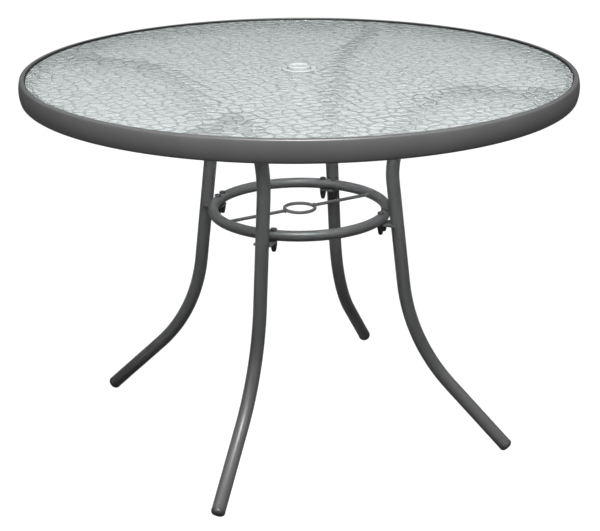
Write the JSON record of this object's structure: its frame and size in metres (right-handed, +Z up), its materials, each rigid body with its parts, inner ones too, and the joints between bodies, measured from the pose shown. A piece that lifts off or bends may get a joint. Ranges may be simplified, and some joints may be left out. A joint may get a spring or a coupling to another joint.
{
  "type": "umbrella table",
  "caption": "Round glass-topped patio table with a rolled steel rim, bent tube legs, a bolted bracing hoop and a capped umbrella hole over a guide loop.",
  "frame": {"origin": "On the floor, under the centre of the round top", "axes": "+Z up, the axis of the top; the legs stand on the diagonals of X and Y, so that -Y faces one open side between two legs"},
  "size_m": [1.016, 1.016, 0.7153],
  "materials": {
    "coated_steel": "satin charcoal powder coat on steel sheet and tube",
    "gasket_rubber": "soft dark strip",
    "textured_glass": "tempered obscure glass with a pebbled upper face",
    "clear_plastic": "smooth whitish moulded plastic",
    "foot_plastic": "dark moulded plastic",
    "bolt_steel": "dark coated steel",
    "nut_plastic": "black moulded plastic over a steel nut"
  },
  "bodies": {
    "table": {"rim_band": "coated_steel", "glass_gasket": "gasket_rubber", "glass_top": "textured_glass", "hole_ring": "clear_plastic", "support_hoop": "coated_steel", "umbrella_loop": "coated_steel", "hoop_rod_right": "coated_steel", "hoop_rod_left": "coated_steel", "leg_front_right": "coated_steel", "leg_back_right": "coated_steel", "leg_back_left": "coated_steel", "leg_front_left": "coated_steel", "foot_plug_front_right": "foot_plastic", "foot_plug_back_right": "foot_plastic", "foot_plug_back_left": "foot_plastic", "foot_plug_front_left": "foot_plastic", "rim_saddle_front_right": "coated_steel", "rim_saddle_back_right": "coated_steel", "rim_saddle_back_left": "coated_steel", "rim_saddle_front_left": "coated_steel", "hoop_tab_front_right": "coated_steel", "hoop_tab_back_right": "coated_steel", "hoop_tab_back_left": "coated_steel", "hoop_tab_front_left": "coated_steel", "saddle_bolt_front_right_1": "bolt_steel", "saddle_bolt_front_right_2": "bolt_steel", "saddle_bolt_back_right_1": "bolt_steel", "saddle_bolt_back_right_2": "bolt_steel", "saddle_bolt_back_left_1": "bolt_steel", "saddle_bolt_back_left_2": "bolt_steel", "saddle_bolt_front_left_1": "bolt_steel", "saddle_bolt_front_left_2": "bolt_steel", "hoop_bolt_front_right_1": "bolt_steel", "hoop_bolt_front_right_2": "bolt_steel", "hoop_bolt_back_right_1": "bolt_steel", "hoop_bolt_back_right_2": "bolt_steel", "hoop_bolt_back_left_1": "bolt_steel", "hoop_bolt_back_left_2": "bolt_steel", "hoop_bolt_front_left_1": "bolt_steel", "hoop_bolt_front_left_2": "bolt_steel", "cap_nut_front_right_1": "nut_plastic", "cap_nut_front_right_2": "nut_plastic", "cap_nut_back_right_1": "nut_plastic", "cap_nut_back_right_2": "nut_plastic", "cap_nut_back_left_1": "nut_plastic", "cap_nut_back_left_2": "nut_plastic", "cap_nut_front_left_1": "nut_plastic", "cap_nut_front_left_2": "nut_plastic"},
    "cap": {"hole_cap": "clear_plastic"}
  },
  "joints": [
    {"name": "cap_lift", "type": "slide", "parent": "table", "child": "cap", "axis": [0, 0, 1], "range_m": [0, 0.05]}
  ]
}
